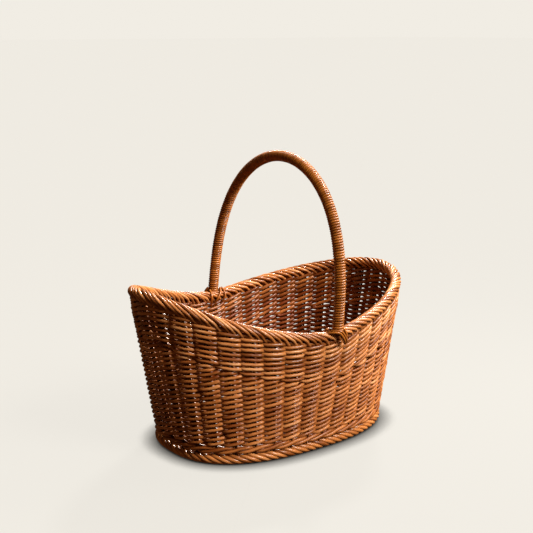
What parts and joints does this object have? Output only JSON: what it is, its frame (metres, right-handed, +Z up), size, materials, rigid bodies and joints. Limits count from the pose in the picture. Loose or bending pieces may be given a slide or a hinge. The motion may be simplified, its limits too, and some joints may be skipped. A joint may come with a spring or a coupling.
{
  "type": "woven market basket",
  "caption": "Oval willow shopping basket with flared walls, a dipped rim border, a braided foot and a fixed wrapped bow handle.",
  "frame": {"origin": "centre of the basket's foot, on the plane that it stands on", "axes": "+X along the length of the basket, towards the lower raised end; +Y across it, from one handle foot to the other; +Z up"},
  "size_m": [0.391, 0.2708, 0.3531],
  "materials": {
    "willow": "glossy varnished willow, honey to brown",
    "stake": "satin varnished willow rods",
    "border": "glossy varnished willow, plaited",
    "handle": "glossy varnished round cane, close wrapped",
    "base": "satin varnished willow"
  },
  "bodies": {
    "root": {"back_lashing": "handle", "base_weave": "base", "bottom_wale": "willow", "cross_base_stick_01": "base", "cross_base_stick_02": "base", "cross_base_stick_03": "base", "cross_base_stick_04": "base", "foot_border": "border", "front_lashing": "handle", "handle_rod": "handle", "handle_wrapping": "handle", "left_packing": "willow", "long_base_stick_01": "base", "long_base_stick_02": "base", "long_base_stick_03": "base", "lower_weave_01": "willow", "lower_weave_02": "willow", "lower_weave_03": "willow", "lower_weave_04": "willow", "right_packing": "willow", "rim_border": "border", "stake_01": "stake", "stake_02": "stake", "stake_03": "stake", "stake_04": "stake", "stake_05": "stake", "stake_06": "stake", "stake_07": "stake", "stake_08": "stake", "stake_09": "stake", "stake_10": "stake", "stake_11": "stake", "stake_12": "stake", "stake_13": "stake", "stake_14": "stake", "stake_15": "stake", "stake_16": "stake", "stake_17": "stake", "stake_18": "stake", "stake_19": "stake", "stake_20": "stake", "stake_21": "stake", "stake_22": "stake", "stake_23": "stake", "stake_24": "stake", "stake_25": "stake", "stake_26": "stake", "stake_27": "stake", "stake_28": "stake", "stake_29": "stake", "stake_30": "stake", "stake_31": "stake", "stake_32": "stake", "stake_33": "stake", "stake_34": "stake", "stake_35": "stake", "stake_36": "stake", "top_wale_01": "border", "top_wale_02": "border", "upper_weave": "willow"}
  },
  "joints": []
}
